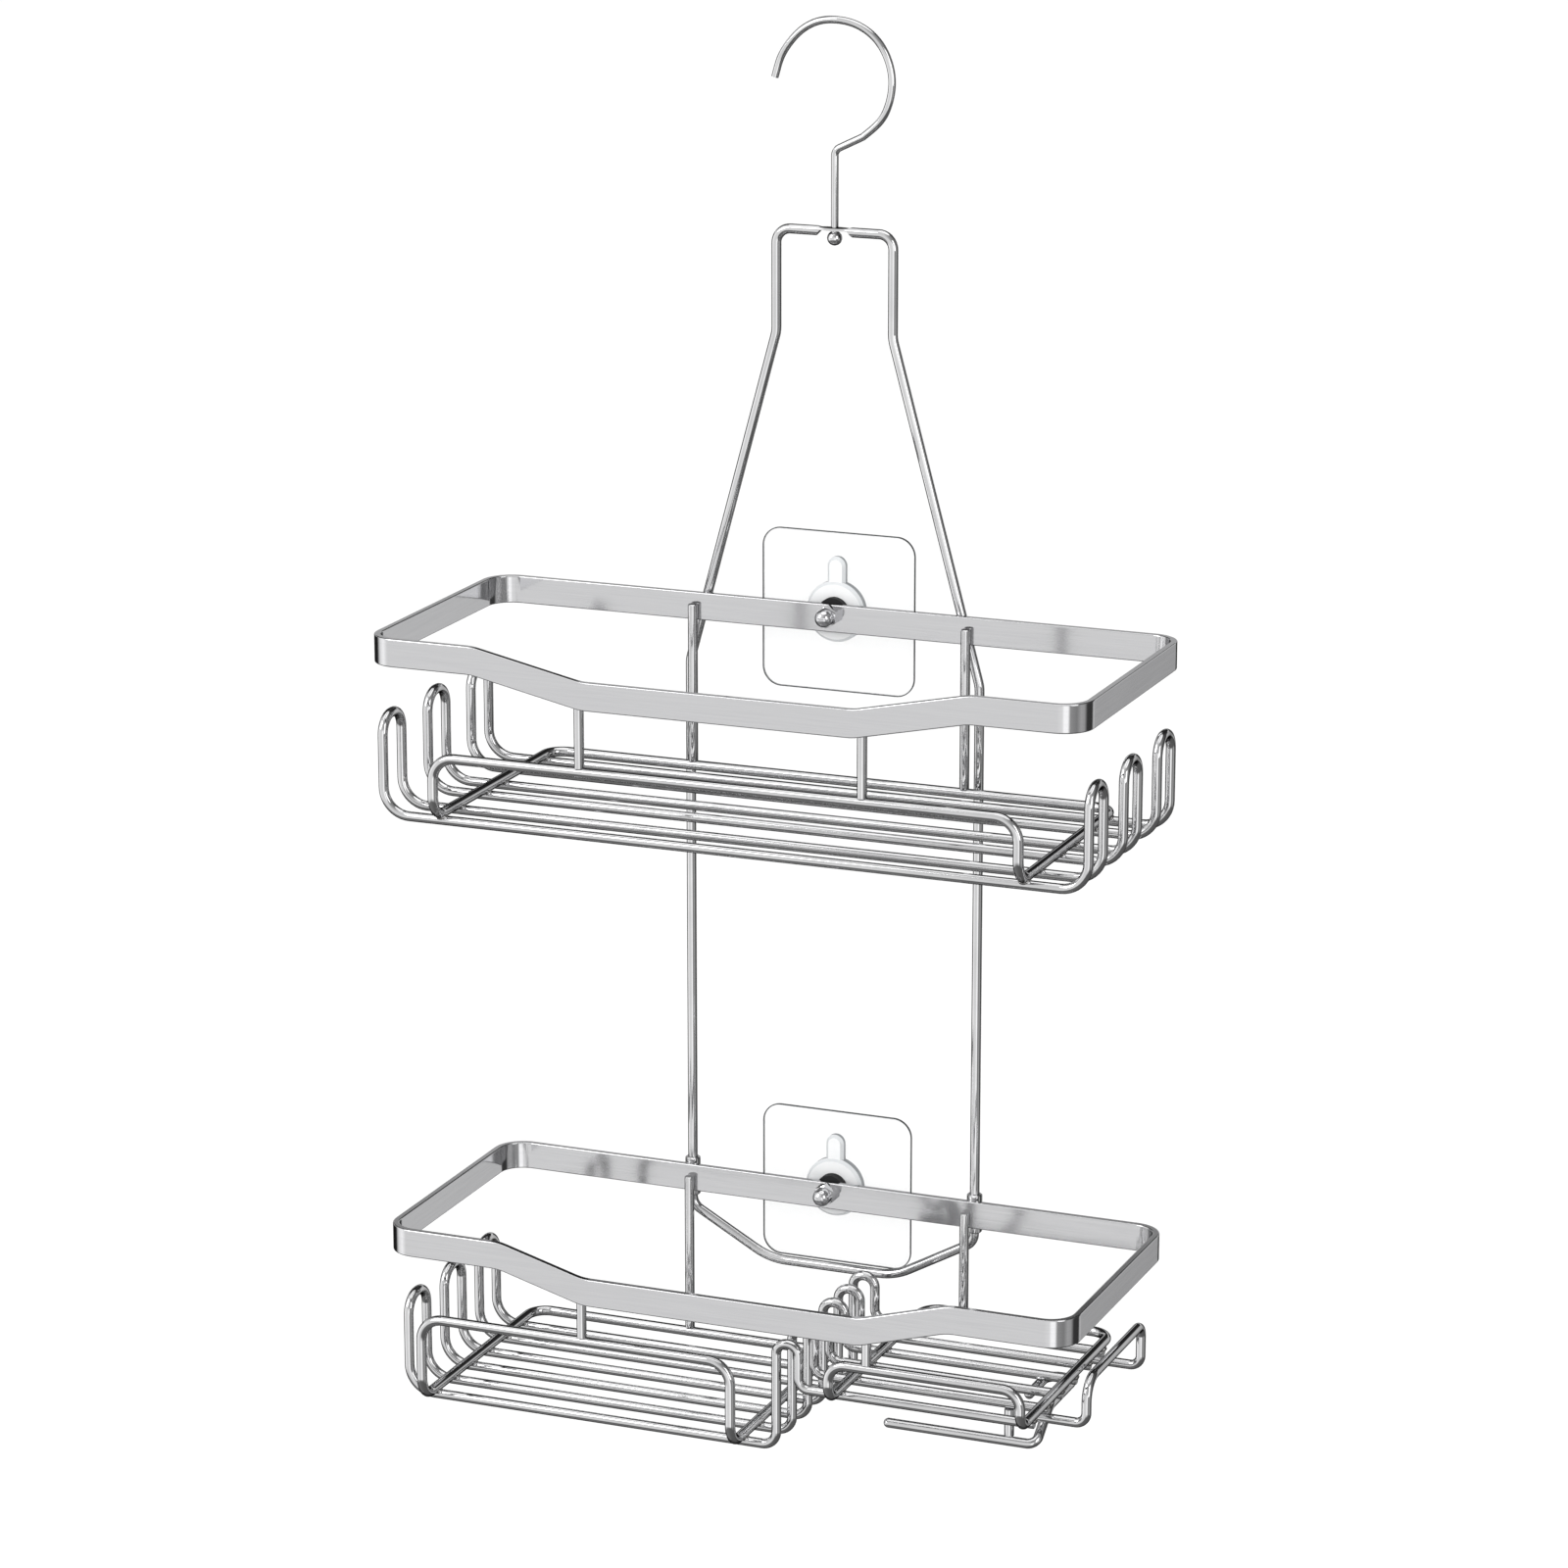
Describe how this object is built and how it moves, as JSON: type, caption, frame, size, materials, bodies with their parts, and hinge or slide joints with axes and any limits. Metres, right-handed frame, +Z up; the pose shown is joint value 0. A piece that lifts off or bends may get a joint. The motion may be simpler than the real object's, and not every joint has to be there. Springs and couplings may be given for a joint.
{
  "type": "hanging shower caddy",
  "caption": "Two-tier hanging shower caddy of polished wire under flat-bar rims, with swivel hook, stepped soap tray, razor hook and clear stick-on wall pads.",
  "frame": {"origin": "the point inside the top of the hook that rests on the shower arm", "axes": "+X to the right along the racks, +Y towards the wall behind the caddy, +Z up"},
  "size_m": [0.301, 0.1308, 0.5619],
  "materials": {
    "wire_steel": "bright polished round wire",
    "rim_steel": "polished flat bar, slightly satin faces",
    "stud_steel": "bright zinc",
    "nut_chrome": "mirror chrome",
    "black_rubber": "matt black",
    "clear_film": "clear flexible plastic",
    "clear_plastic": "milky clear moulded plastic"
  },
  "bodies": {
    "hook": {"hook_wire": "wire_steel", "hook_ball": "wire_steel"},
    "caddy": {"hanger_yoke": "wire_steel", "upper_base_ring_front": "wire_steel", "upper_base_ring_middle": "wire_steel", "upper_base_ring_back": "wire_steel", "upper_guard_ring": "wire_steel", "upper_front_post_left": "wire_steel", "upper_front_post_right": "wire_steel", "upper_back_post_left": "wire_steel", "upper_back_post_right": "wire_steel", "lower_base_wire_front": "wire_steel", "lower_base_wire_middle": "wire_steel", "lower_base_wire_back": "wire_steel", "lower_basket_ring": "wire_steel", "soap_tray_ring": "wire_steel", "lower_front_post_left": "wire_steel", "lower_front_post_right": "wire_steel", "lower_back_post_left": "wire_steel", "lower_back_post_right": "wire_steel", "rod_sleeve_left": "wire_steel", "rod_sleeve_right": "wire_steel", "bottom_brace": "wire_steel", "side_bar": "wire_steel", "razor_hook": "wire_steel", "razor_hook_strut": "wire_steel", "upper_rim": "rim_steel", "lower_rim": "rim_steel", "upper_wall_pad": "clear_film", "upper_pad_boss": "clear_plastic", "upper_stud": "stud_steel", "upper_washer": "black_rubber", "upper_cap_nut": "nut_chrome", "lower_wall_pad": "clear_film", "lower_pad_boss": "clear_plastic", "lower_stud": "stud_steel", "lower_washer": "black_rubber", "lower_cap_nut": "nut_chrome"}
  },
  "joints": [
    {"name": "hook_swivel", "type": "hinge", "parent": "hook", "child": "caddy", "pos_m": [0, 0, -0.0814], "axis": [0, 0, 1], "continuous": true}
  ]
}
